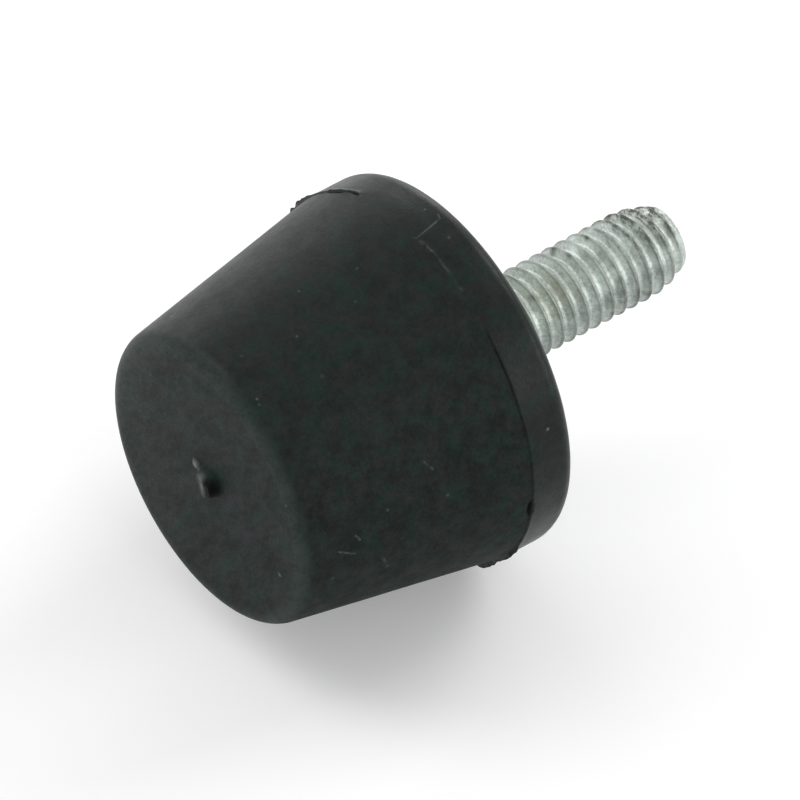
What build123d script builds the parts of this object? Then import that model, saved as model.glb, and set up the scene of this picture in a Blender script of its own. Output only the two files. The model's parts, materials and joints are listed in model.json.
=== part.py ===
from build123d import *
import os

# Rubber buffer with a threaded stud. The axis lies along Y: the blunt rubber head faces -Y,
# the stud points along +Y, and the origin is the centre of the mounting face. All in mm.

# Rubber body: a straight rim band, then a cone that narrows to the head
body_height = 19.1
rim_radius = 12.8
rim_band = 3.4
head_radius = 10.0
rim_edge_radius = 1.0
head_edge_radius = 1.2
head_dish = 0.15

# Parting line: the cone's mould half sits a little inside the band's, and flash stands in the joint
parting_step = 0.05
flash_height = 0.28
flash_root = 0.36
flash_edge = 0.14
flash_bite = 0.25
flash_start_deg = -38.0
flash_sweep_deg = 185.0

# Stub left by the moulding gate at the centre of the head, highest on its +X side
gate_radius = 1.2
gate_tip_radius = 0.8
gate_height = 0.6
gate_bite = 0.2
gate_slant_deg = 14.0

# Steel disc bonded into the back of the rubber
disc_radius = 11.0
disc_thickness = 2.0
disc_edge_chamfer = 0.3

# M6 stud: its anchor head lies inside the rubber and its neck is pressed into the disc
thread_size = 6.0
thread_allowance = 0.1
stud_length = 17.2
tip_radius = 2.15
tip_taper = 1.3
neck_step = 0.35
anchor_overhang = 1.6
anchor_thickness = 1.6
anchor_chamfer = 0.4

# Sizes that follow from the ones above
stud_radius = (thread_size - thread_allowance) / 2
neck_radius = stud_radius + neck_step
anchor_radius = neck_radius + anchor_overhang
anchor_depth = disc_thickness + anchor_thickness
cone_radius = rim_radius - parting_step
dish_depth = body_height - head_dish

os.makedirs("parts", exist_ok=True)

# Base disc: a flat washer, flush with the back of the rubber, with its outer edges broken
with BuildPart() as base_disc:
    with BuildSketch(Plane.XZ):
        Circle(disc_radius)
        Circle(neck_radius, mode=Mode.SUBTRACT)
    extrude(amount=disc_thickness)
    outer_edges = base_disc.edges().filter_by(GeomType.CIRCLE).sort_by(SortBy.RADIUS)[-2:]
    chamfer(outer_edges, disc_edge_chamfer)
base_disc.part.label = "base_disc"

# Threaded stud: shank with a tapered tip, neck through the disc, anchor head behind it
with BuildPart() as threaded_stud:
    with BuildSketch(Plane.XY):
        with BuildLine():
            Polyline(
                (0, stud_length),
                (tip_radius, stud_length),
                (stud_radius, stud_length - tip_taper),
                (stud_radius, 0),
                (neck_radius, 0),
                (neck_radius, -disc_thickness),
                (anchor_radius, -disc_thickness),
                (anchor_radius, anchor_chamfer - anchor_depth),
                (anchor_radius - anchor_chamfer, -anchor_depth),
                (0, -anchor_depth),
                close=True,
            )
        make_face()
    revolve(axis=Axis.Y)
threaded_stud.part.label = "threaded_stud"

# Rubber body: one moulding, formed around the disc and the anchor head
with BuildPart() as rubber_body:
    with BuildSketch(Plane.XY) as half_section:
        with BuildLine():
            Polyline(
                (0, -dish_depth),
                (0, 0),
                (rim_radius, 0),
                (rim_radius, -rim_band),
                (cone_radius, -rim_band),
                (head_radius, -body_height),
            )
            TangentArc((0, -dish_depth), (head_radius, -body_height), tangent=(1, 0))
        make_face()
        rim_corner = half_section.vertices().group_by(Axis.Y)[-1].sort_by(Axis.X)[-1]
        fillet(rim_corner, rim_edge_radius)
        head_corner = half_section.vertices().sort_by(Axis.Y)[0]
        fillet(head_corner, head_edge_radius)
    revolve(axis=Axis.Y)

    # Flash: a thin fin on the edge of the band, along the side where the mould halves gaped
    with BuildSketch(Plane.XY.rotated((0, -flash_start_deg, 0))):
        with BuildLine():
            Polyline(
                (rim_radius - flash_bite, -rim_band),
                (rim_radius + flash_height, -rim_band),
                (rim_radius + flash_height, -rim_band + flash_edge),
                (rim_radius, -rim_band + flash_root),
                (rim_radius - flash_bite, -rim_band + flash_root),
                close=True,
            )
        make_face()
    revolve(axis=Axis.Y, revolution_arc=flash_sweep_deg)

    # Gate stub: it narrows outwards and is torn off at a slant
    gate_root = Plane.XZ.offset(dish_depth - gate_bite)
    gate_tip = Plane.XZ.offset(dish_depth + gate_height).rotated((0, 0, -gate_slant_deg))
    with BuildSketch(gate_root):
        Circle(gate_radius)
    with BuildSketch(gate_tip):
        Circle(gate_tip_radius)
    loft()

    # Seats of the steel parts, which the rubber is bonded to
    add(base_disc.part, mode=Mode.SUBTRACT)
    add(threaded_stud.part, mode=Mode.SUBTRACT)
rubber_body.part.label = "rubber_body"

export_step(rubber_body.part, "parts/rubber_body.step")
export_step(base_disc.part, "parts/base_disc.step")
export_step(threaded_stud.part, "parts/threaded_stud.step")
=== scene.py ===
import json
import math

import bmesh
import bpy
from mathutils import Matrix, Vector, noise


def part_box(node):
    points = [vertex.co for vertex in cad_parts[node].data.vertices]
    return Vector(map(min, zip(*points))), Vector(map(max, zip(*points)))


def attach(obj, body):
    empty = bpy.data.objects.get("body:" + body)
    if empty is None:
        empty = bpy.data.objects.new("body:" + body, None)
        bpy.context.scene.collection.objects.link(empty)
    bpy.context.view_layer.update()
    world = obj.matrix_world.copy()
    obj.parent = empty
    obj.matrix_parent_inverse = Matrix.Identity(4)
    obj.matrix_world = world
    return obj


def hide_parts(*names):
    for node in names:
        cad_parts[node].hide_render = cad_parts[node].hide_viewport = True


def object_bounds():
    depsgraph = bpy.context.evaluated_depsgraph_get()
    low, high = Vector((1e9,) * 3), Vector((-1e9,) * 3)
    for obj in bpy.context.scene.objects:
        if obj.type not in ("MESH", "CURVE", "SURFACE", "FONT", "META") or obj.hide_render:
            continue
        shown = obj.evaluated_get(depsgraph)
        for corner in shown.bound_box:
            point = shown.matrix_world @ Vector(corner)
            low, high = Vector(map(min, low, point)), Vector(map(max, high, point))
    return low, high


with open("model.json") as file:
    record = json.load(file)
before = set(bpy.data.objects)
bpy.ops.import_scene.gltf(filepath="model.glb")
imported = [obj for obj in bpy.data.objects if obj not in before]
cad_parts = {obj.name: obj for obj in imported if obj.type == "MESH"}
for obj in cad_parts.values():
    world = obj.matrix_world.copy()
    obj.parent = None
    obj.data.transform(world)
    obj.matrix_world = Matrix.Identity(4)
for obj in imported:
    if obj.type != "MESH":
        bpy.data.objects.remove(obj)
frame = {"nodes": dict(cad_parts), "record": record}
CAD_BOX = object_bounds()

MM = 0.001

# Sizes read from the frame: the stud's mount, and the boxes of the three nodes. The stud points
# along +Y from the mounting face at y = 0, and all the rest lies on the -Y side of that face.
STUD = next(m for m in frame["record"]["mounts"] if m["name"] == "stud")
CREST_RADIUS = STUD["dims"]["r_mm"] * MM
STUD_LOW, STUD_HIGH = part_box("threaded_stud")
DISC_LOW, DISC_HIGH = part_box("base_disc")
_, RUBBER_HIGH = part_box("rubber_body")
STUD_END = STUD_HIGH.y
ANCHOR_RADIUS = STUD_HIGH.x
ANCHOR_END = STUD_LOW.y
DISC_RADIUS = DISC_HIGH.x
DISC_END = DISC_LOW.y
RIM_RADIUS = RUBBER_HIGH.x

# Rubber body. A depth is measured along the axis from the mounting face towards the head.
BODY_HEIGHT = 19.1 * MM
RIM_BAND = 3.4 * MM
HEAD_RADIUS = 10.0 * MM
RIM_EDGE_RADIUS = 1.0 * MM
HEAD_EDGE_RADIUS = 1.2 * MM
HEAD_DISH = 0.15 * MM
PARTING_STEP = 0.05 * MM
DISC_CHAMFER = 0.3 * MM
ANCHOR_CHAMFER = 0.4 * MM
NECK_STEP = 0.35 * MM
CONE_SLOPE = (RIM_RADIUS - PARTING_STEP - HEAD_RADIUS) / (BODY_HEIGHT - RIM_BAND)

# The moulding leans a little: the head's shift against the rim, and the share of the height at
# which nothing is shifted
HEAD_LEAN = Vector((-0.1, 0, 0.09)) * MM
LEAN_CENTRE = 0.4

# The moulded side isn't quite round: waves as (mm at the head, waves round the axis, phase), and
# noise as (mm, features across a radius, mm of depth for each feature)
SIDE_WAVES = ((0.03, 2, -0.8), (0.02, 3, 1.3 - math.pi / 2))
SIDE_NOISE = (0.02, 3, 4)

# Angles run round the axis from +X towards +Z, in degrees. The side that the photograph shows
# gets narrow columns, and the rest wide ones. One turn, and each table of angles below, runs from
# TURN_START to the end of the shown side.
SHOWN_START, SHOWN_END = -50, 160
SHOWN_STEP, HIDDEN_STEP = 0.45, 2.0
TURN_START = SHOWN_END - 360

# How many rings of points the rubber has: on its back, round its two rounded edges, down the band
# and the cone, and on the head outside and inside the stub's reach. The band's even rings end at
# BAND_GAP from the parting line, and the rings next to the line have gaps in mm to either side of it.
BACK_RINGS, RIM_EDGE_RINGS, HEAD_EDGE_RINGS = 4, 10, 16
BAND_RINGS, CONE_RINGS = 10, 42
HEAD_RINGS, STUB_RINGS = 12, 36
BAND_GAP = 0.5 * MM
LIP_GAPS = (0.4, 0.32, 0.25, 0.19, 0.14, 0.1, 0.06, 0.03, 0.008)
GROOVE_GAPS = (0.008, 0.04, 0.07, 0.1, 0.13, 0.17, 0.21, 0.26, 0.32, 0.4)

# The parting line, in tables of (angle, mm): how far its corner is rounded, how high the flash lip
# stands, and how wide and deep the groove is. SHARP_EASE is the rounding where no angle is given.
# The lip's root reaches LIP_ROOT towards the rim, and LIP_SHARPNESS is the power by which the lip
# thins. GROOVE_GAP is the distance from the line to the groove's middle.
SHARP_EASE = 0.01 * MM
CORNER_EASES = ((-200, 0.1), (50, 0.05), (60, 1.5), (108, 1.5), (116, 0.1), (160, 0.1))
LIP_ROOT = 0.36 * MM
LIP_SHARPNESS = 1.6
LIP_HEIGHTS = (
    (-200, 0.24), (-120, 0.2), (-75, 0.24), (-63, 0.4), (-58, 0.44), (-52, 0.44), (-48, 0.3),
    (-45, 0.2), (-41, 0.18), (-38.5, 0.2), (-36, 0.28), (-33.5, 0.18), (-31, 0.22), (-28, 0.03),
    (0, 0.0), (62, 0.0), (65, 0.05), (67, 0.0), (72, 0.04), (74, 0.0), (79, 0.06), (83, 0.04),
    (85, 0.0), (113, 0.0), (115, 0.09), (119, 0.06), (122, 0.11), (127, 0.1), (130, 0.03),
    (138, 0.05), (144, 0.2), (150, 0.34), (152.3, 0.17), (154.5, 0.34), (157.5, 0.2), (160, 0.24),
)
GROOVE_GAP = 0.09 * MM
GROOVE_WIDTHS = (
    (-200, 0.1), (-11.5, 0.09), (-9, 0.28), (-6.5, 0.28), (-4, 0.1), (50, 0.09), (160, 0.1),
)
GROOVE_DEPTHS = (
    (-200, 0.05), (-60, 0.02), (-44, 0.02), (-36, 0.05), (-12, 0.05), (-9, 0.32), (-6.5, 0.32),
    (-4, 0.05), (20, 0.06), (45, 0.07), (50, 0.05), (54, 0.0), (76, 0.0), (79, 0.04), (82, 0.0),
    (112, 0.0), (115, 0.2), (118, 0.18), (120, 0.03), (123, 0.22), (127, 0.2), (129, 0.04),
    (140, 0.02), (160, 0.05),
)

# How far the torn line strays from the parting line towards the rim, as (angle, mm)
TEAR_SHIFTS = ((-200, 0.0), (104, 0.0), (112, 0.22), (117, 0.22), (122, 0.04), (126, 0.0), (160, 0.0))

# Noise that makes the flash ragged, as (share, features round the axis, seed), and noise of the
# same kind that makes the parting line wander, in mm
LIP_RAGGED = ((0.35, 70, 3.1), (0.3, 200, 7.7))
GROOVE_WIDTH_RAGGED = ((0.2, 90, 1.4),)
GROOVE_DEPTH_RAGGED = ((0.5, 80, 5.2),)
PARTING_WANDER = (0.04, 24, 9.4)

# Gate stub on the head, torn off at a slant. Its flank is narrower by a swing on the +X side, and
# wider by it on the other. Its edge has waves as (share, waves round it, phase), and its top has
# waves of a share of the height. The stub and the shred beside it lie inside GATE_REACH.
GATE_CENTRE = (0.0 * MM, 0.05 * MM)
GATE_RADIUS = 1.1 * MM
GATE_HEIGHT = 0.6 * MM
GATE_SLANT = 0.28
GATE_REACH = 2.2 * MM
GATE_FLANK, GATE_FLANK_SWING = 0.42 * MM, 0.14 * MM
GATE_EDGE_WAVES = ((0.07, 2, 0.6), (0.05, 3, -math.pi / 2))
GATE_TOP_WAVES, GATE_TOP_FEATURE = 0.16, 0.5 * MM

# Shred of rubber left beside the stub
SHRED_CENTRE = (-1.2 * MM, 0.75 * MM)
SHRED_RADIUS = 0.48 * MM
SHRED_HEIGHT = 0.18 * MM
SHRED_FLANK = 0.3 * MM

# M6 thread: its pitch and depth, its flats as shares of the pitch, and the rounding of its corners
# as a share of a flank. THREAD_POINTS is the rings in a pitch, and CREST_PHASE puts the crests where
# the photograph has them. The turns start at THREAD_START and reach full depth over RUN_OUT. Below
# them the shank is plain, and flares out by SHANK_FLARE at the mounting face.
PITCH = 1.0 * MM
THREAD_DEPTH = 0.56 * MM
CREST_FLAT = 0.11
ROOT_FLAT = 0.25
THREAD_ROUNDING = 0.13
THREAD_POINTS = 20
CREST_PHASE = 0.98
SHANK_RADIUS = 2.68 * MM
SHANK_FLARE = 0.15 * MM
THREAD_START = 0.6 * MM
RUN_OUT = 1.2 * MM
STUD_COLUMNS = 144

# Small dents in the thread, and the features of their noise round the axis, from one turn to the
# next and along a pitch
NICK_DEPTH = 0.012 * MM
NICK_FEATURES = (40, 3.0, 6)
NICK_SEED = 2.0

# Rounded tip: where it starts, how much smaller its end's radius is, the share of the thread's
# depth that is lost on the way, and where the thread fades out. TIP_RING places one more ring on the
# flat end, as a share of its radius.
TIP_START = STUD_END - 2.9 * MM
TIP_DROP = 0.8 * MM
TIP_THREAD = 0.5
TIP_PLAIN = STUD_END - 0.5 * MM
TIP_FADE = 0.15 * MM
TIP_RING = 0.92

# Noise in the finishes: features for each mm, how fine it gets, how strong its finest features are,
# and a shift in metres or a stretch that sets one pattern apart from another
BLOOM_NOISE = dict(per_mm=0.6, detail=7.0, roughness=0.93)
CAST_NOISE = dict(per_mm=0.8, detail=6.0, roughness=0.85, shift=(0.31, 0.17, 0.05))
GRAIN_NOISE = dict(per_mm=6.0, detail=2.0)
SCRATCH_NOISE = dict(per_mm=3.5, detail=2.0, shift=(0.02, 0.05, 0.01))
CLOUD_NOISE = dict(per_mm=0.7, detail=4.0, roughness=0.6)
SPECKLE_NOISE = dict(per_mm=1.1, detail=6.0, roughness=0.75, stretch=(1, 2.5, 1))
FINE_NOISE = dict(per_mm=4.0, detail=5.0, roughness=0.9, shift=(0.07, 0.03, 0.11))

# Levels of that noise, or of a sum of it, that become 0 and 1
BLOOM_LEVELS = (0.33, 0.67)
CAST_LEVELS = (0.34, 0.66)
BREAK_LEVELS = (0.35, 0.6)
PALE_ZINC_LEVELS = (0.36, 0.64)
STAIN_LEVELS = (0.4, 0.6)
DIRT_LEVELS = (0.43, 0.57)
PIT_LEVELS = (0.58, 0.7)

# The rubber's greys: plain black and under the bloom, on the side and on the head, in the painted
# highlight on the head's edge, in the painted shade on the stub, and in the marks and the painted
# highlights on the stub and the flash. The last two are the strength of those pale places, and the least
# that their grain and the breaks in a scratch leave of them.
SIDE_BLACK, SIDE_BLOOM = 0.003, 0.018
HEAD_BLACK, HEAD_BLOOM = 0.004, 0.019
EDGE_HIGHLIGHT_GREY = 0.034
STUB_SHADE_GREY = 0.001
PALE_MARK_AND_HIGHLIGHT_GREY = 0.3
MARK_AND_HIGHLIGHT_STRENGTH = 0.45
MARK_AND_HIGHLIGHT_LEAST, SCRATCH_LEAST = 0.5, 0.2

# Tints of those greys, as shares of red, green and blue
GREEN_CAST = (0.22, 1.1, 0.74)
PURPLE_CAST = (0.86, 0.8, 0.9)
HEAD_GREEN_CAST = (0.2, 1.2, 0.75)
HEAD_PURPLE_CAST = (0.85, 0.85, 1.0)
EDGE_HIGHLIGHT_CAST = (0.75, 1.07, 0.95)
PALE_MARK_AND_HIGHLIGHT_CAST = (0.9, 1.0, 0.95)

# The rubber's roughness, and how much rougher or smoother it is in places: the black ones, the low
# side, the head and one side of it, the painted shade on the stub and the band. Then its shine and its
# grain in mm.
RUBBER_ROUGHNESS = 0.39
BLACK_ROUGHER = 0.1
LOW_ROUGHER = 0.28
HEAD_ROUGHER, HEAD_SIDE_ROUGHER = 0.05, 0.12
STUB_SHADE_ROUGHER = 0.3
BAND_SMOOTHER = 0.08
RUBBER_SHINE = 0.15
RUBBER_GRAIN_DEPTH = 0.012

# Where the head's look begins and is complete, as distances from the head's face
HEAD_LOOK_START, HEAD_LOOK_END = 0.7 * MM, 0.2 * MM

# Where the head's edge gets a pale painted highlight, how far that reaches, and how much without and with
# bloom
HIGHLIGHT_EDGE_RADIUS = HEAD_RADIUS - 0.5 * MM
HIGHLIGHT_EDGE_DEPTH = BODY_HEIGHT - 0.15 * MM
EDGE_HIGHLIGHT_REACH = 1.05 * MM
EDGE_HIGHLIGHT_LEAST, EDGE_HIGHLIGHT_BY_BLOOM = 0.4, 0.8

# Painted shade on the stub's flank and on the head beside it, the blackest place, and how far that
# reaches
STUB_SHADE_PLACE = Vector((0.95, -19.4, 0.4)) * MM
STUB_SHADE_REACH = 1.1 * MM

# The cone is duller towards the side that it lies on, from one distance to another along this
# direction
LOW_SIDE = Vector((0.85, 0, -0.5))
LOW_START, LOW_END = -6.0 * MM, 9.0 * MM

# The head is duller towards its +X side, in the same way
HEAD_SIDE = Vector((0.95, 0, 0.2))
HEAD_START, HEAD_END = -8.0 * MM, 3.0 * MM

# The depth over which the look changes at the parting line
BAND_EDGE = 0.1 * MM

# The head's mottling is drawn out along this direction, by this share
HEAD_GRAIN_SIDE = Vector((0.635, 0, 0.772))
HEAD_GRAIN_STRETCH = 0.55

# Marks on the rubber: angle, depth, reach and brightness of specks on the side
SIDE_SPECKS = (
    (68.4, 18.0, 0.13, 0.6), (66.2, 18.1, 0.14, 0.25), (93.6, 11.28, 0.13, 0.4), (79.8, 13.5, 0.14, 0.35),
    (88.1, 7.6, 0.15, 0.28), (78.8, 9.2, 0.14, 0.25), (63.6, 13.8, 0.2, 0.15), (-12.4, 13.3, 0.2, 0.25),
    (-8.4, 17.15, 0.2, 0.25), (13.0, 13.25, 0.17, 0.35), (9.8, 9.2, 0.17, 0.3), (17.3, 1.87, 0.17, 1.0),
    (85.2, 16.95, 0.16, 0.2), (127.5, 16.9, 0.2, 0.8), (80.2, 1.8, 0.14, 0.4), (92.7, 1.5, 0.15, 0.5),
)
# Specks on the head: x, z, reach and brightness
HEAD_SPECKS = (
    (1.29, 5.79, 0.15, 0.35), (7.3, -2.27, 0.24, 0.7), (8.06, 4.26, 0.16, 0.4), (-4.67, 8.29, 0.15, 0.35),
    (-5.75, 5.0, 0.14, 0.35), (-6.8, 3.78, 0.16, 0.25), (-5.71, -4.03, 0.14, 0.3),
)
# Painted highlights on the gate stub and on the shred beside it: x, z, height, reach and brightness
STUB_HIGHLIGHTS = (
    (-1.2, 0.75, 0.15, 0.6, 1.5), (-0.15, 0.6, 0.45, 0.6, 0.8), (0.0, 0.0, 0.55, 0.65, 0.9),
    (0.1, -0.6, 0.5, 0.55, 0.4),
)
# Scratches on the side, and pale torn flash along the parting line with a painted highlight where its
# edge catches the light: start and end as (angle, depth), reach and brightness
SCRATCHES_AND_FLASH_HIGHLIGHTS = (
    ((3.9, 16.8), (0.3, 15.7), 0.12, 0.3), ((8.0, 15.57), (5.7, 15.33), 0.14, 0.35),
    ((24.0, 10.28), (20.6, 9.84), 0.13, 0.22), ((-7.0, 13.7), (-10.5, 13.4), 0.16, 0.25),
    ((86.0, 3.6), (85.3, 3.42), 0.12, 0.4), ((85.3, 3.42), (86.2, 2.25), 0.11, 0.4),
    ((86.2, 2.25), (87.2, 1.28), 0.11, 0.5), ((87.2, 1.28), (88.8, 1.16), 0.1, 0.4),
    ((83.8, 3.45), (79.0, 3.38), 0.2, 0.22), ((75.5, 3.3), (70.5, 3.4), 0.2, 0.22),
    ((67.8, 3.35), (64.2, 3.45), 0.18, 0.2), ((-38, 3.3), (-46, 3.3), 0.5, 0.35),
    ((-46, 3.3), (-54, 3.3), 0.7, 0.4), ((-54, 3.3), (-62, 3.3), 0.6, 0.4),
    ((150, 3.3), (156, 3.3), 0.5, 0.3),
)

# Zinc plating: brightness of the stud's and the disc's, and how dirty each is
STUD_ZINC, STUD_DIRT = 0.54, 0.9
DISC_ZINC, DISC_DIRT = 0.45, 0.15

# Its patches as shares of that brightness, pale, dull, stained and dirty, and their tints
ZINC_PALE, ZINC_DULL, ZINC_STAINED, ZINC_DIRTY = 1.45, 0.6, 0.6, 0.16
PALE_ZINC_TINT = (0.94, 1.02, 0.97)
DULL_ZINC_TINT = (0.93, 1.03, 0.95)
STAIN_TINT = (1.05, 1.0, 0.7)
DIRT_TINT = (1.0, 1.06, 0.88)
ZINC_METALLIC = 0.9
ZINC_ROUGHNESS, CLOUD_ROUGHER, DIRT_ROUGHER = 0.34, 0.1, 0.2
ZINC_GRAIN_DEPTH = 0.035

# Shares of the noises in each pattern: clouds and fine noise in the pale patches, speckle and fine
# noise in the dirt, and speckle in the grain
PALE_CLOUD, PALE_FINE = 0.3, 0.7
DIRT_SPECKLE, DIRT_FINE = 0.65, 0.35
GRAIN_SPECKLE = 0.5
PIT_STRENGTH = 0.45

# The place near the tip where the plating is dirtiest, and how far that reaches
SOILED_PLACE = Vector((-0.9, 15.6, 2.8)) * MM
SOILED_REACH = 5.1 * MM

# The side that lies low is a little dirty too
LOW_SOILED_PLACE = Vector((2.9, 12.5, -0.8)) * MM
LOW_SOILED_REACH = 4.0 * MM

# How dirty those places and the rest are
SOILED_MOST, SOILED_LOW, SOILED_LEAST = 1.1, 0.4, 0.12

# The dirt grows from the valleys, where there is this much of it, to the crests, between these
# shares of the thread's depth. On the crests it also makes a dark line, between two depths, which
# has a least strength and gets the rest from the fine noise.
VALLEY_DIRT = 0.3
OPEN_DEPTHS = (0.9, 0.5)
CREST_LINE = (0.22 * MM, 0.02 * MM)
CREST_LEAST, CREST_FINE = 0.2, 0.6

# Single dark spots on the plating: x, y, z, reach and darkness
STUD_SPOTS = (
    (-1.4, 9.2, 2.35, 0.6, 1.5), (-0.7, 11.3, 2.8, 0.42, 1.3), (0.0, 9.6, 2.8, 0.4, 1.0),
    (-1.15, 12.1, 2.6, 0.35, 0.9), (1.3, 5.5, 2.5, 0.4, 0.5), (2.4, 11.6, 1.4, 0.42, 0.6),
    (2.6, 13.6, -1.0, 0.6, 0.9), (2.8, 10.35, -0.1, 0.5, 0.6),
)

# Where the plating near the rim has a brownish stain, how far that reaches, and how strong it is
STAINED_PLACE = Vector((1.5, 6.8, 2.5)) * MM
STAINED_REACH = 3.2 * MM
STAIN_STRENGTH = 0.55

# Camera: where the photograph shows the mounting face's centre, and from which side
PICTURE_SIZE = 800
MOUNT_PIXEL = (449.64, 353.28)
CAMERA_AZIMUTH = 52.1
CAMERA_ELEVATION = 43.8
CAMERA_DISTANCE = 0.9985
LENS_PIXELS = 15964
SENSOR_WIDTH = 36.0
NEAREST_SEEN, FARTHEST_SEEN = 0.05, 10

# Soft lamps round the object: azimuth, elevation, distance in metres, and power in watts for each
# square metre of the distance. A lamp's size is a share of its distance.
LAMP_SPREAD = 0.45
LAMPS = (
    ("right", 0, 15, 1.0, 1.85), ("back_right", 45, 15, 1.0, 2.6), ("back_left", 135, 15, 1.0, 1.8),
    ("left", 180, 15, 1.0, 1.3), ("back_high", 90, 38, 1.0, 3.0), ("front_left", 225, 38, 0.2, 2.0),
    ("front_high", 225, 62, 0.3, 1.0),
)

# The even sky's brightness
SKY_LEVEL = 0.5

# Floor: half its width in metres, its colour, its roughness, and how much it glows
FLOOR_HALF = 3.0
FLOOR_COLOUR = 0.92
FLOOR_ROUGHNESS = 0.9
FLOOR_GLOW = 0.15

# Points closer than this are merged, and edges sharper than this angle stay sharp
RUBBER_MERGE, RUBBER_SHARP = 1e-8, 50
STUD_MERGE, STUD_SHARP = 1e-7, 40


class Value:
    """A number that varies over a surface. Sums and products of it add Math nodes."""

    def __init__(self, nodes, socket):
        self.nodes = nodes
        self.socket = socket

    def math(self, operation, *values, clamp=False):
        settings = {"operation": operation, "use_clamp": clamp}
        return self.nodes.node("ShaderNodeMath", settings, dict(enumerate(values)))

    def __add__(self, other):
        return self.math("ADD", self, other)

    def __sub__(self, other):
        return self.math("SUBTRACT", self, other)

    def __mul__(self, other):
        return self.math("MULTIPLY", self, other)

    def __truediv__(self, other):
        return self.math("DIVIDE", self, other)

    def __rsub__(self, other):
        return self.math("SUBTRACT", other, self)

    __radd__ = __add__
    __rmul__ = __mul__

    def power(self, exponent):
        return self.math("POWER", self, exponent)

    def larger(self, other):
        return self.math("MAXIMUM", self, other)

    def clamped(self):
        return self.math("ADD", self, 0.0, clamp=True)

    def between(self, low, high):
        """0 below low, 1 above high, and a smooth rise between them."""
        settings = {"interpolation_type": "SMOOTHSTEP"}
        return self.nodes.node("ShaderNodeMapRange", settings, {0: self, 1: low, 2: high})


class Nodes:
    """A node tree, with one method that adds any node to it."""

    def __init__(self, owner):
        owner.use_nodes = True
        self.tree = owner.node_tree

    def node(self, kind, settings=None, inputs=None, output=0):
        """Sets a new node's settings, then feeds its inputs. Gives one output, or a list of them."""
        made = self.tree.nodes.new(kind)
        for name, setting in (settings or {}).items():
            setattr(made, name, setting)
        for name, given in (inputs or {}).items():
            self.feed(made.inputs[name], given)
        if isinstance(output, tuple):
            return [Value(self, made.outputs[name]) for name in output]
        return Value(self, made.outputs[output])

    def feed(self, socket, given):
        """Links a varying value to a socket, or sets a constant on it."""
        if isinstance(given, Value):
            self.tree.links.new(given.socket, socket)
        else:
            socket.default_value = given

    def vector(self, operation, first, second, output="Vector"):
        return self.node("ShaderNodeVectorMath", {"operation": operation}, {0: first, 1: second}, output)

    def scaled(self, direction, scale):
        """A direction times a number that varies."""
        inputs = {0: direction, "Scale": scale}
        return self.node("ShaderNodeVectorMath", {"operation": "SCALE"}, inputs, "Vector")

    def blend(self, share, first, second):
        """A colour that goes from first to second as share goes from 0 to 1."""
        inputs = {0: share, 6: first, 7: second}
        return self.node("ShaderNodeMix", {"data_type": "RGBA"}, inputs, output=2)

    def backdrop(self):
        """1 for the rays that should meet a white background: seen, mirrored or through glass."""
        kinds = ("Is Camera Ray", "Is Glossy Ray", "Is Transmission Ray")
        camera, glossy, through = self.node("ShaderNodeLightPath", output=kinds)
        return camera + glossy + through


class Finish(Nodes):
    """A material with one Principled shader, and the nodes that feed it."""

    def __init__(self, name):
        self.material = bpy.data.materials.new(name)
        super().__init__(self.material)
        self.surface = self.tree.nodes["Principled BSDF"]
        self.place = self.node("ShaderNodeTexCoord", output="Object")
        axes = ("X", "Y", "Z")
        self.x, self.y, self.z = self.node("ShaderNodeSeparateXYZ", None, {0: self.place}, axes)

    def set(self, **sockets):
        """Feeds the Principled shader's sockets, named with _ for each space."""
        for name, given in sockets.items():
            title = name.replace("_", " ").title().replace("Ior", "IOR")
            self.feed(self.surface.inputs[title], given)

    def noise(self, per_mm, detail, roughness=0.5, shift=None, stretch=None, place=None):
        """Noise from 0 to 1, mostly near 0.5, over the surface or over a changed place."""
        place = place or self.place
        place = self.vector("ADD", place, shift) if shift else place
        place = self.vector("MULTIPLY", place, stretch) if stretch else place
        inputs = {"Vector": place, "Scale": per_mm / MM, "Detail": detail, "Roughness": roughness}
        return self.node("ShaderNodeTexNoise", None, inputs)

    def from_axis(self):
        """Distance from the axis, in metres."""
        return (self.x * self.x + self.z * self.z).power(0.5)

    def from_ring(self, radius, depth):
        """Distance from a circle round the axis, in metres."""
        out, along = self.from_axis() - radius, self.y + depth
        return (out * out + along * along).power(0.5)

    def along(self, direction):
        """Distance from the origin along a direction."""
        return self.vector("DOT_PRODUCT", self.place, direction, "Value")

    def drawn_out(self, direction, share):
        """The place, changed so that a pattern there is longer along a direction."""
        return self.vector("SUBTRACT", self.place, self.scaled(direction * share, self.along(direction)))

    def near(self, point, reach):
        """1 at a point, falling smoothly to 0 at the reach."""
        return 1 - self.vector("DISTANCE", self.place, point, "Value").between(0.0, reach)

    def streak(self, start, end, reach):
        """1 on a straight mark from start to end, falling smoothly to 0 at the reach."""
        span = end - start
        from_start = self.vector("SUBTRACT", self.place, start)
        share = self.vector("DOT_PRODUCT", from_start, span, "Value") / span.length_squared
        foot = self.scaled(span, share.clamped())
        return 1 - self.vector("DISTANCE", from_start, foot, "Value").between(0.0, reach)

    def bump(self, height, depth):
        """Raises the surface by height times depth, a depth given in mm."""
        inputs = {"Height": height, "Distance": depth * MM, "Strength": 1.0}
        return self.node("ShaderNodeBump", None, inputs)


def grey(level, tint=(1.0, 1.0, 1.0)):
    """A tinted grey, as red, green, blue and alpha."""
    return tuple(level * t for t in tint) + (1.0,)


def largest(values):
    """The largest of several numbers at each place."""
    total = values[0]
    for value in values[1:]:
        total = total.larger(value)
    return total


def on_side(angle, depth):
    """The point of the rubber's side at an angle and at a depth in mm."""
    turn = math.radians(angle)
    r = side_radius(depth * MM)
    return Vector((r * math.cos(turn), -depth * MM, r * math.sin(turn)))


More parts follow.
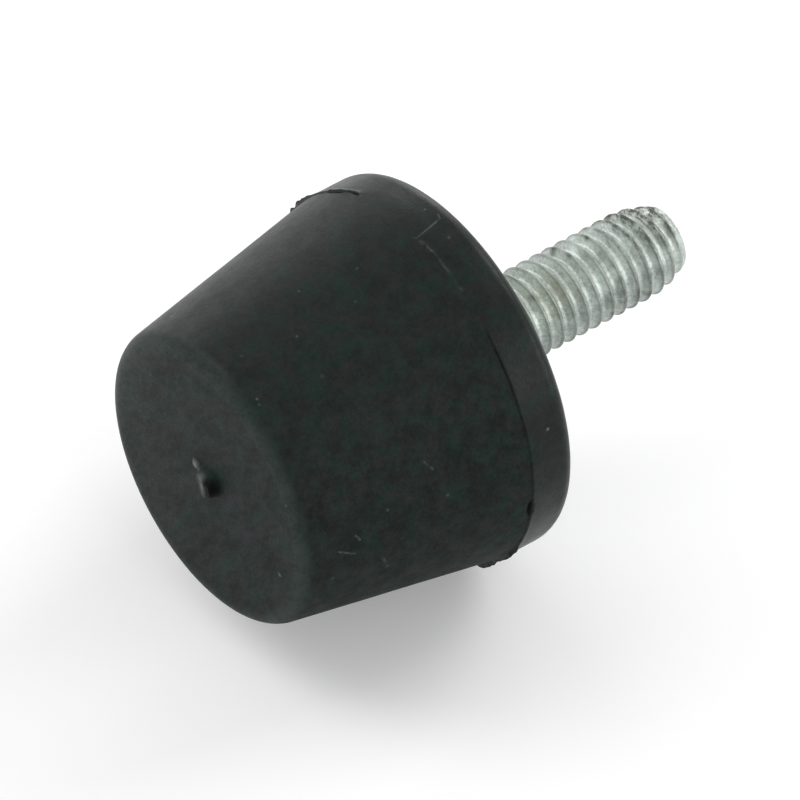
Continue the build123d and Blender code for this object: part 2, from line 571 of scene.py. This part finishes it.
def pale_marks_and_highlights(finish):
    """How pale the specks, the scratches and the painted highlights on the stub and the flash make the
    rubber, from 0 to about 1.
    """
    marks_and_highlights = []
    broken = SCRATCH_LEAST + finish.noise(**SCRATCH_NOISE).between(*BREAK_LEVELS)
    for angle, depth, reach, level in SIDE_SPECKS:
        marks_and_highlights.append(finish.near(on_side(angle, depth), reach * MM) * level)
    for x, z, reach, level in HEAD_SPECKS:
        marks_and_highlights.append(finish.near(Vector((x * MM, -BODY_HEIGHT, z * MM)), reach * MM) * level)
    # Painted highlights on the stub and the shred beside it
    for x, z, rise, reach, level in STUB_HIGHLIGHTS:
        point = Vector((x * MM, -BODY_HEIGHT - rise * MM, z * MM))
        marks_and_highlights.append(finish.near(point, reach * MM) * level)
    # Scratches, and pale torn flash with a painted highlight on its edge
    for start, end, reach, level in SCRATCHES_AND_FLASH_HIGHLIGHTS:
        marks_and_highlights.append(finish.streak(on_side(*start), on_side(*end), reach * MM) * level * broken)
    return largest(marks_and_highlights)


def mottling(finish, place):
    """The rubber at a place: how thick its bloom is, how purple its patches are, and its grain."""
    bloom = finish.noise(**BLOOM_NOISE, place=place).between(*BLOOM_LEVELS)
    cast = finish.noise(**CAST_NOISE, place=place).between(*CAST_LEVELS)
    return bloom, cast, finish.noise(**GRAIN_NOISE, place=place)


def bloomed(finish, bloom, cast, levels, tints):
    """The colour between two levels of grey by the bloom, and between two tints by the cast."""
    green, purple = tints
    black, ash = (finish.blend(cast, grey(level, green), grey(level, purple)) for level in levels)
    return finish.blend(bloom, black, ash)


def rubber_finish():
    """Black moulded rubber: a thin uneven bloom, in patches of green and purple grey, with a painted
    highlight on the head's edge and painted shade on the stub, pale specks and scratches, and painted
    highlights on the stub and the flash."""
    finish = Finish("moulded_rubber")
    depth = 0.0 - finish.y
    head = depth.between(BODY_HEIGHT - HEAD_LOOK_START, BODY_HEIGHT - HEAD_LOOK_END)
    on_head = mottling(finish, finish.drawn_out(HEAD_GRAIN_SIDE, HEAD_GRAIN_STRETCH))
    on_rest = mottling(finish, finish.place)
    bloom, cast, grain = (a * head + b * (1 - head) for a, b in zip(on_head, on_rest))
    # Painted highlight along the head's edge: 1 on its brightest ring, falling to 0 at its reach
    worn = 1 - finish.from_ring(HIGHLIGHT_EDGE_RADIUS, HIGHLIGHT_EDGE_DEPTH).between(0.0, EDGE_HIGHLIGHT_REACH)
    # Painted shade on the stub's flank and on the head beside it
    torn = finish.near(STUB_SHADE_PLACE, STUB_SHADE_REACH)
    # Pale specks and scratches, and painted highlights on the stub and along the flash
    marks_and_highlights = (pale_marks_and_highlights(finish) * (MARK_AND_HIGHLIGHT_LEAST + grain) * MARK_AND_HIGHLIGHT_STRENGTH).clamped()

    side_tints = (GREEN_CAST, PURPLE_CAST)
    side_colour = bloomed(finish, bloom, cast, (SIDE_BLACK, SIDE_BLOOM), side_tints)
    head_tints = (HEAD_GREEN_CAST, HEAD_PURPLE_CAST)
    head_colour = bloomed(finish, bloom, cast, (HEAD_BLACK, HEAD_BLOOM), head_tints)
    colour = finish.blend(head, side_colour, head_colour)
    # The painted highlight on the head's edge, stronger where the bloom is thicker
    edge_highlight = worn * (EDGE_HIGHLIGHT_LEAST + bloom * EDGE_HIGHLIGHT_BY_BLOOM)
    colour = finish.blend(edge_highlight, colour, grey(EDGE_HIGHLIGHT_GREY, EDGE_HIGHLIGHT_CAST))
    # Painted shade: the stub's flank and the head beside it go blacker
    colour = finish.blend(torn, colour, grey(STUB_SHADE_GREY))
    finish.set(base_color=finish.blend(marks_and_highlights, colour, grey(PALE_MARK_AND_HIGHLIGHT_GREY, PALE_MARK_AND_HIGHLIGHT_CAST)))

    low = finish.along(LOW_SIDE).between(LOW_START, LOW_END)
    low = low * depth.between(RIM_BAND, RIM_BAND + BAND_EDGE) * (1 - head)
    across = finish.along(HEAD_SIDE).between(HEAD_START, HEAD_END)
    band = 1 - depth.between(RIM_BAND - BAND_EDGE, RIM_BAND)
    roughness = RUBBER_ROUGHNESS + (1 - bloom) * BLACK_ROUGHER + low * LOW_ROUGHER
    roughness = roughness + head * (HEAD_ROUGHER + across * HEAD_SIDE_ROUGHER)
    roughness = roughness + torn * STUB_SHADE_ROUGHER - band * BAND_SMOOTHER
    finish.set(roughness=roughness, specular_ior_level=RUBBER_SHINE)
    finish.set(normal=finish.bump(grain, RUBBER_GRAIN_DEPTH))
    return finish.material


def zinc_dirt(finish, speckle, fine, dirt_share):
    """How dirty the plating is, from 0 to 1: in patches that are thickest near the tip, in a line along
    the crests, in fine pits and in single spots."""
    tip = ((finish.y - TIP_START) / (STUD_END - TIP_START)).clamped()
    from_axis = finish.from_axis() + tip * tip * TIP_DROP
    line_start, line_end = CREST_LINE
    crest = from_axis.between(CREST_RADIUS - line_start, CREST_RADIUS - line_end)
    crest = crest * (1 - finish.y.between(TIP_PLAIN - TIP_FADE, TIP_PLAIN + TIP_FADE))
    crest = crest * (CREST_LEAST + fine * CREST_FINE)
    deep, shallow = OPEN_DEPTHS
    flank = from_axis.between(CREST_RADIUS - THREAD_DEPTH * deep, CREST_RADIUS - THREAD_DEPTH * shallow)
    flank = VALLEY_DIRT + flank * (1 - VALLEY_DIRT)
    soiled = SOILED_LEAST + finish.near(SOILED_PLACE, SOILED_REACH) * SOILED_MOST
    soiled = soiled + finish.near(LOW_SOILED_PLACE, LOW_SOILED_REACH) * SOILED_LOW
    patches = (speckle * DIRT_SPECKLE + fine * DIRT_FINE).between(*DIRT_LEVELS)
    pits = fine.between(*PIT_LEVELS) * PIT_STRENGTH
    spots = []
    for *place, reach, darkness in STUD_SPOTS:
        spots.append(finish.near(Vector(place) * MM, reach * MM) * darkness)
    patches = patches * soiled * flank * dirt_share
    return (patches + pits + largest(spots) * fine + crest * dirt_share).clamped()


def zinc_finish(name, level, dirt_share):
    """Dull zinc plating in pale and dull patches, with one brownish stain and grey-green dirt."""
    finish = Finish(name)
    cloud = finish.noise(**CLOUD_NOISE)
    speckle = finish.noise(**SPECKLE_NOISE)
    fine = finish.noise(**FINE_NOISE)
    dirt = zinc_dirt(finish, speckle, fine, dirt_share)
    stained = finish.near(STAINED_PLACE, STAINED_REACH) * speckle.between(*STAIN_LEVELS)
    pale = grey(level * ZINC_PALE, PALE_ZINC_TINT)
    dull = grey(level * ZINC_DULL, DULL_ZINC_TINT)
    patches = (cloud * PALE_CLOUD + fine * PALE_FINE).between(*PALE_ZINC_LEVELS)
    colour = finish.blend(patches, dull, pale)
    colour = finish.blend(stained * STAIN_STRENGTH, colour, grey(level * ZINC_STAINED, STAIN_TINT))
    colour = finish.blend(dirt, colour, grey(level * ZINC_DIRTY, DIRT_TINT))
    finish.set(base_color=colour, metallic=ZINC_METALLIC)
    finish.set(roughness=ZINC_ROUGHNESS + cloud * CLOUD_ROUGHER + dirt * DIRT_ROUGHER)
    finish.set(normal=finish.bump(speckle * GRAIN_SPECKLE + fine, ZINC_GRAIN_DEPTH))
    return finish.material


def floor_finish():
    """Pale studio floor: white to the camera and in reflections, with the object's soft shadow."""
    finish = Finish("studio_floor")
    finish.set(base_color=grey(FLOOR_COLOUR), roughness=FLOOR_ROUGHNESS, emission_strength=1.0)
    finish.set(emission_color=finish.blend(finish.backdrop(), grey(0.0), grey(FLOOR_GLOW)))
    return finish.material


def smooth(share):
    """A smooth rise from 0 at 0 to 1 at 1."""
    share = min(max(share, 0.0), 1.0)
    return share * share * (3 - 2 * share)


def bent(distance, reach):
    """0 below 0 and the distance itself above it, with the corner rounded over the reach."""
    if abs(distance) >= reach:
        return max(distance, 0.0)
    return (distance + reach) ** 2 / (4 * reach)


def steps(table, angle):
    """The value at an angle from a table of (angle, value) pairs, with smooth changes between."""
    for (left, low), (right, high) in zip(table, table[1:]):
        if left <= angle <= right:
            return low + (high - low) * smooth((angle - left) / (right - left))
    raise ValueError(angle)


def rough(angle, per_turn, seed):
    """Repeatable noise from -1 to 1 round the axis."""
    turn = math.radians(angle)
    reach = per_turn / math.tau
    return noise.noise(Vector((math.cos(turn) * reach, math.sin(turn) * reach, seed)))


def ragged(angle, kinds):
    """A factor about 1, made uneven round the axis by one or more kinds of noise."""
    return 1 + sum(share * rough(angle, per_turn, seed) for share, per_turn, seed in kinds)


def arc(centre, radius, start, end, count):
    """Points of an arc in the half section, as (distance from axis, y), angles in degrees."""
    turns = [math.radians(start + (end - start) * i / count) for i in range(count + 1)]
    return [(centre[0] + radius * math.cos(t), centre[1] + radius * math.sin(t)) for t in turns]


def line(start, end, count):
    """Evenly spaced points from start up to but without end."""
    return [tuple(a + (b - a) * i / count for a, b in zip(start, end)) for i in range(count)]


def skin(name, rings):
    """A closed mesh over rings of points. A ring of one point closes an end."""
    points = [p for ring in rings for p in ring]
    columns = max(len(ring) for ring in rings)
    faces = []
    first = 0
    for ring, following in zip(rings, rings[1:]):
        second = first + len(ring)
        for j in range(columns):
            k = (j + 1) % columns
            if len(ring) == 1:
                faces.append((first, second + k, second + j))
            elif len(following) == 1:
                faces.append((first + j, first + k, second))
            else:
                faces.append((first + j, first + k, second + k, second + j))
        first = second
    return make_piece(name, points, faces)


def make_piece(name, points, faces):
    mesh = bpy.data.meshes.new(name)
    mesh.from_pydata(points, [], faces)
    piece = bpy.data.objects.new(name, mesh)
    bpy.context.scene.collection.objects.link(piece)
    return piece


def tidy_mesh(piece, merge, sharp_angle):
    """Merges points that meet, turns all faces outwards and shades them smoothly."""
    work = bmesh.new()
    work.from_mesh(piece.data)
    bmesh.ops.remove_doubles(work, verts=work.verts, dist=merge)
    bmesh.ops.dissolve_degenerate(work, edges=work.edges, dist=merge)
    bmesh.ops.recalc_face_normals(work, faces=work.faces)
    work.to_mesh(piece.data)
    work.free()
    piece.data.shade_smooth()
    piece.data.set_sharp_from_angle(angle=math.radians(sharp_angle))


def side_radius(depth, ease=SHARP_EASE):
    """Distance from the axis of the band or, past the parting line, of the cone. The ease is how
    far the corner between them is rounded."""
    past = depth - RIM_BAND
    step = PARTING_STEP * smooth(past / (2 * ease) + 0.5)
    return RIM_RADIUS - step - CONE_SLOPE * bent(past, ease)


def seat_outline():
    """Half section of the seat that the rubber forms round the disc and the anchor head."""
    anchor, disc = ANCHOR_RADIUS, DISC_RADIUS
    return [
        (anchor - ANCHOR_CHAMFER, ANCHOR_END),
        (anchor, ANCHOR_END + ANCHOR_CHAMFER),
        (anchor, DISC_END),
        (disc - DISC_CHAMFER, DISC_END),
        (disc, DISC_END + DISC_CHAMFER),
        (disc, -DISC_CHAMFER),
        (disc - DISC_CHAMFER, 0),
    ]


def rim_outline():
    """Half section of the back face and the rim's rounded edge."""
    inner = (DISC_RADIUS - DISC_CHAMFER, 0)
    corner = (RIM_RADIUS - RIM_EDGE_RADIUS, 0)
    edge = arc((corner[0], -RIM_EDGE_RADIUS), RIM_EDGE_RADIUS, 90, 0, RIM_EDGE_RINGS)
    return line(inner, corner, BACK_RINGS)[1:] + edge


def side_depths(last):
    """Depths of the rings down the side, close together at the parting line."""
    lip = [RIM_BAND - gap * MM for gap in LIP_GAPS]
    groove = [RIM_BAND + gap * MM for gap in GROOVE_GAPS]
    height = RIM_BAND - BAND_GAP - RIM_EDGE_RADIUS
    band = [RIM_EDGE_RADIUS + height * i / BAND_RINGS for i in range(1, BAND_RINGS + 1)]
    cone = [groove[-1] + (last - groove[-1]) * i / CONE_RINGS for i in range(1, CONE_RINGS)]
    return band + lip + groove + cone


def lip_height(angle, gap):
    """Height of the flash at a gap above the parting line: a thin fin with a broad root."""
    share = 1 - gap / LIP_ROOT
    if gap < 0 or share < 0:
        return 0.0
    return steps(LIP_HEIGHTS, angle) * MM * ragged(angle, LIP_RAGGED) * share ** LIP_SHARPNESS


def groove_depth(angle, gap):
    """Depth of the groove that the flash left where it tore off, at a gap below the parting line."""
    width = steps(GROOVE_WIDTHS, angle) * MM * ragged(angle, GROOVE_WIDTH_RAGGED)
    share = (gap - GROOVE_GAP) / width
    if abs(share) > 1:
        return 0.0
    depth = steps(GROOVE_DEPTHS, angle) * MM * ragged(angle, GROOVE_DEPTH_RAGGED)
    return depth * (1 - share * share) ** 2


def parting_shift(angle):
    """How far the torn line lies from the parting line, towards the rim."""
    wander, per_turn, seed = PARTING_WANDER
    return (wander * rough(angle, per_turn, seed) + steps(TEAR_SHIFTS, angle)) * MM


def wobble(angle, depth):
    """How far the moulded side stands off the true cone: slow waves, a fraction of a tenth."""
    turn = math.radians(angle)
    wave = sum(size * math.cos(count * turn + phase) for size, count, phase in SIDE_WAVES)
    size, across, spacing = SIDE_NOISE
    place = Vector((across * math.cos(turn), across * math.sin(turn), depth / (spacing * MM)))
    return (wave * depth / BODY_HEIGHT + size * noise.noise(place)) * MM


def turned(r, y, angle):
    """The point at a distance from the axis, moved by the slight lean of the moulding."""
    turn = math.radians(angle)
    point = Vector((r * math.cos(turn), y, r * math.sin(turn)))
    return point + HEAD_LEAN * (-y / BODY_HEIGHT - LEAN_CENTRE)


def side_ring(depth, angles):
    """A ring of the band or the cone, with the flash and the groove next to the parting line."""
    ring = []
    for angle in angles:
        gap = depth - RIM_BAND + parting_shift(angle)
        relief = lip_height(angle, -gap) - groove_depth(angle, gap)
        side = side_radius(depth, steps(CORNER_EASES, angle) * MM)
        ring.append(turned(side + wobble(angle, depth) + relief, -depth, angle))
    return ring


def corner_ring(r, y, angles):
    """A ring on a rounded corner, which follows the side's waviness."""
    return [turned(r + wobble(angle, -y), y, angle) for angle in angles]


def seat_ring(r, y, angles):
    """A ring of the seat, which is exact because the steel pieces fill it."""
    turns = [math.radians(angle) for angle in angles]
    return [Vector((r * math.cos(turn), y, r * math.sin(turn))) for turn in turns]


def head_edge():
    """Half section of the head's rounded edge, and the depth at which the cone meets it."""
    slope = math.atan(CONE_SLOPE)
    reach = HEAD_EDGE_RADIUS * math.tan((math.pi / 2 - slope) / 2)
    centre = (HEAD_RADIUS - reach, HEAD_EDGE_RADIUS - BODY_HEIGHT)
    edge = arc(centre, HEAD_EDGE_RADIUS, -math.degrees(slope), -90, HEAD_EDGE_RINGS)
    return edge, BODY_HEIGHT - reach * math.cos(slope)


def stub_height(x, z):
    """Height of the gate stub over the head: steep on its high +X side, worn down on the other."""
    u, w = x - GATE_CENTRE[0], z - GATE_CENTRE[1]
    turn = math.atan2(w, u)
    waves = sum(share * math.cos(count * turn + phase) for share, count, phase in GATE_EDGE_WAVES)
    edge = GATE_RADIUS * (1 + waves)
    flank = GATE_FLANK - GATE_FLANK_SWING * math.cos(turn)
    top = GATE_TOP_WAVES * noise.noise(Vector((x, z, 0)) / GATE_TOP_FEATURE)
    slanted = 1 + GATE_SLANT * u / GATE_RADIUS + top
    stub = GATE_HEIGHT * smooth((edge - math.hypot(u, w)) / flank) * slanted
    from_shred = math.hypot(x - SHRED_CENTRE[0], z - SHRED_CENTRE[1])
    return max(stub, SHRED_HEIGHT * smooth((SHRED_RADIUS - from_shred) / SHRED_FLANK))


def head_ring(r, flat, angles):
    """A ring of the dished head inside its flat radius, raised where the stub and shred are."""
    ring = []
    for angle in angles:
        point = turned(r, -BODY_HEIGHT + HEAD_DISH * (1 - (r / flat) ** 2), angle)
        point.y -= stub_height(point.x, point.z)
        ring.append(point)
    return ring


def column_angles():
    """Angles of the columns: narrow steps on the side shown, wide ones behind."""
    shown = round((SHOWN_END - SHOWN_START) / SHOWN_STEP)
    hidden = round((SHOWN_START - TURN_START) / HIDDEN_STEP)
    front = [SHOWN_START + (SHOWN_END - SHOWN_START) * i / shown for i in range(shown)]
    back = [TURN_START + (SHOWN_START - TURN_START) * i / hidden for i in range(hidden)]
    return back + front


def rubber_piece():
    """The moulding: seat, rim band, ragged parting line, cone and head in one closed skin."""
    angles = column_angles()
    edge, last = head_edge()
    flat = edge[-1][0]
    outer = [GATE_REACH + (flat - GATE_REACH) * (1 - i / HEAD_RINGS) for i in range(1, HEAD_RINGS)]
    inner = [GATE_REACH * (1 - i / STUB_RINGS) for i in range(STUB_RINGS)]
    rings = [[Vector((0, ANCHOR_END, 0))]]
    rings += [seat_ring(r, y, angles) for r, y in seat_outline()]
    rings += [corner_ring(r, y, angles) for r, y in rim_outline()]
    rings += [side_ring(depth, angles) for depth in side_depths(last)]
    rings += [corner_ring(r, y, angles) for r, y in edge]
    rings += [head_ring(r, flat, angles) for r in outer + inner]
    rings.append(head_ring(0, flat, [0]))
    piece = skin("rubber_moulding", rings)
    tidy_mesh(piece, RUBBER_MERGE, RUBBER_SHARP)
    return piece


def thread_outline():
    """One pitch of the thread as (share of the pitch, distance from axis), crest first."""
    flank = (1 - CREST_FLAT - ROOT_FLAT) / 2
    outline = []
    for i in range(THREAD_POINTS):
        share = i / THREAD_POINTS
        fall = (min(share, 1 - share) - CREST_FLAT / 2) / flank
        drop = bent(fall, THREAD_ROUNDING) - bent(fall - 1, THREAD_ROUNDING)
        outline.append((share, CREST_RADIUS - THREAD_DEPTH * drop))
    return outline


def stud_radius(r, y):
    """Distance from the axis at y: the thread fades into the plain shank and the rounded tip."""
    r = SHANK_RADIUS + (r - SHANK_RADIUS) * smooth((y - THREAD_START) / RUN_OUT)
    share = max(y - TIP_START, 0.0) / (STUD_END - TIP_START)
    tip = CREST_RADIUS - TIP_DROP * share * share
    if share > 0:
        r = tip - (CREST_RADIUS - r) * (1 - TIP_THREAD * share)
    return r + (tip - r) * smooth((y - TIP_PLAIN) / TIP_FADE)


def thread_sheet():
    """Rings that follow the helix, cut off square where the thread starts and at the tip."""
    around, per_turn, per_pitch = NICK_FEATURES
    rows = []
    for turn in range(-1, math.ceil((STUD_END - THREAD_START) / PITCH) + 1):
        for share, r in thread_outline():
            row = []
            for j in range(STUD_COLUMNS):
                part = j / STUD_COLUMNS
                place = Vector((part * around, turn * per_turn + share * per_pitch, NICK_SEED))
                nick = NICK_DEPTH * noise.noise(place)
                y = THREAD_START + (turn + share + part + CREST_PHASE - 1) * PITCH
                y = min(max(y, THREAD_START), STUD_END)
                radius = stud_radius(r + nick, y)
                row.append((radius * math.sin(math.tau * part), y, radius * math.cos(math.tau * part)))
            rows.append(row)
    return rows


def stud_ring(r, y):
    turns = [math.tau * j / STUD_COLUMNS for j in range(STUD_COLUMNS)]
    return [(r * math.sin(t), y, r * math.cos(t)) for t in turns]


def stud_piece():
    """The stud: anchor head, neck, plain shank, helical thread and rounded tip, closed."""
    neck = CREST_RADIUS + NECK_STEP
    anchor = ANCHOR_RADIUS
    foot = [
        (0, ANCHOR_END),
        (anchor - ANCHOR_CHAMFER, ANCHOR_END),
        (anchor, ANCHOR_END + ANCHOR_CHAMFER),
        (anchor, DISC_END),
        (neck, DISC_END),
        (neck, 0),
        (SHANK_RADIUS + SHANK_FLARE, 0),
        (SHANK_RADIUS, SHANK_FLARE),
        (SHANK_RADIUS, THREAD_START),
    ]
    end = CREST_RADIUS - TIP_DROP
    tip = [(end, STUD_END), (end * TIP_RING, STUD_END), (0, STUD_END)]
    points, faces = [], []

    def join(rings, shift=0):
        """Adds rings of points and the faces between them. With a shift, the end of each ring is
        joined to the start of a later one."""
        first = len(points)
        for ring in rings:
            points.extend(ring)
        later = shift * STUD_COLUMNS
        for i in range(len(rings) - 1 - shift):
            for j in range(STUD_COLUMNS):
                a = first + i * STUD_COLUMNS + j
                b = a + 1 if j + 1 < STUD_COLUMNS else a + 1 - STUD_COLUMNS + later
                faces.append((a, b, b + STUD_COLUMNS, a + STUD_COLUMNS))

    join([stud_ring(r, y) for r, y in foot])
    join(thread_sheet(), THREAD_POINTS)
    join([stud_ring(r, y) for r, y in tip])
    piece = make_piece("threaded_shank", points, faces)
    tidy_mesh(piece, STUD_MERGE, STUD_SHARP)
    return piece


def studio_floor(height):
    """A wide pale floor that the rim just touches."""
    half = FLOOR_HALF
    corners = [(-half, -half, height), (half, -half, height), (half, half, height), (-half, half, height)]
    floor = make_piece("floor", corners, [(0, 1, 2, 3)])
    floor.data.materials.append(floor_finish())


def direction(azimuth, elevation):
    """Unit vector at an azimuth, from +X towards +Y, and an elevation, in degrees."""
    turn, lift = math.radians(azimuth), math.radians(elevation)
    return Vector((math.cos(turn) * math.cos(lift), math.sin(turn) * math.cos(lift), math.sin(lift)))


def make_camera():
    """A long lens, aimed so that the mounting face's centre falls where the photograph has it."""
    back = direction(CAMERA_AZIMUTH - 90, CAMERA_ELEVATION)
    right = direction(CAMERA_AZIMUTH, 0)
    up = back.cross(right)
    camera = bpy.data.objects.new("camera", bpy.data.cameras.new("camera"))
    bpy.context.scene.collection.objects.link(camera)
    middle = PICTURE_SIZE / 2
    aside = (MOUNT_PIXEL[0] - middle) / LENS_PIXELS * CAMERA_DISTANCE
    above = (middle - MOUNT_PIXEL[1]) / LENS_PIXELS * CAMERA_DISTANCE
    camera.location = back * CAMERA_DISTANCE - right * aside - up * above
    camera.rotation_mode = "QUATERNION"
    camera.rotation_quaternion = (-back).to_track_quat("-Z", "Y")
    camera.data.sensor_width = SENSOR_WIDTH
    camera.data.lens = LENS_PIXELS * SENSOR_WIDTH / PICTURE_SIZE
    camera.data.clip_start = NEAREST_SEEN
    camera.data.clip_end = FARTHEST_SEEN
    bpy.context.scene.camera = camera


def studio_light():
    """Plain soft light: an even sky, and broad lamps low round the left, the back and the right."""
    world = bpy.data.worlds.new("studio")
    bpy.context.scene.world = world
    nodes = Nodes(world)
    sky = nodes.tree.nodes["Background"]
    nodes.feed(sky.inputs["Color"], nodes.blend(nodes.backdrop(), grey(SKY_LEVEL), grey(1.0)))
    for name, azimuth, elevation, distance, power in LAMPS:
        lamp = bpy.data.objects.new(name, bpy.data.lights.new(name, "AREA"))
        bpy.context.scene.collection.objects.link(lamp)
        towards = direction(azimuth, elevation)
        lamp.location = towards * distance
        lamp.rotation_mode = "QUATERNION"
        lamp.rotation_quaternion = (-towards).to_track_quat("-Z", "Y")
        lamp.data.size = LAMP_SPREAD * distance
        lamp.data.energy = power * distance ** 2


def place_piece(piece, node, material):
    """Gives a piece its material, and puts it in the place of the solid that it replaces."""
    piece.data.materials.append(material)
    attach(piece, "root")
    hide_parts(node)


make_camera()
studio_light()
studio_floor(CAD_BOX[0].z)

place_piece(rubber_piece(), "rubber_body", rubber_finish())
place_piece(stud_piece(), "threaded_stud", zinc_finish("plated_stud", STUD_ZINC, STUD_DIRT))
disc = frame["nodes"]["base_disc"]
disc.data.materials.clear()
disc.data.materials.append(zinc_finish("plated_disc", DISC_ZINC, DISC_DIRT))

bpy.context.scene.view_settings.view_transform = "Standard"
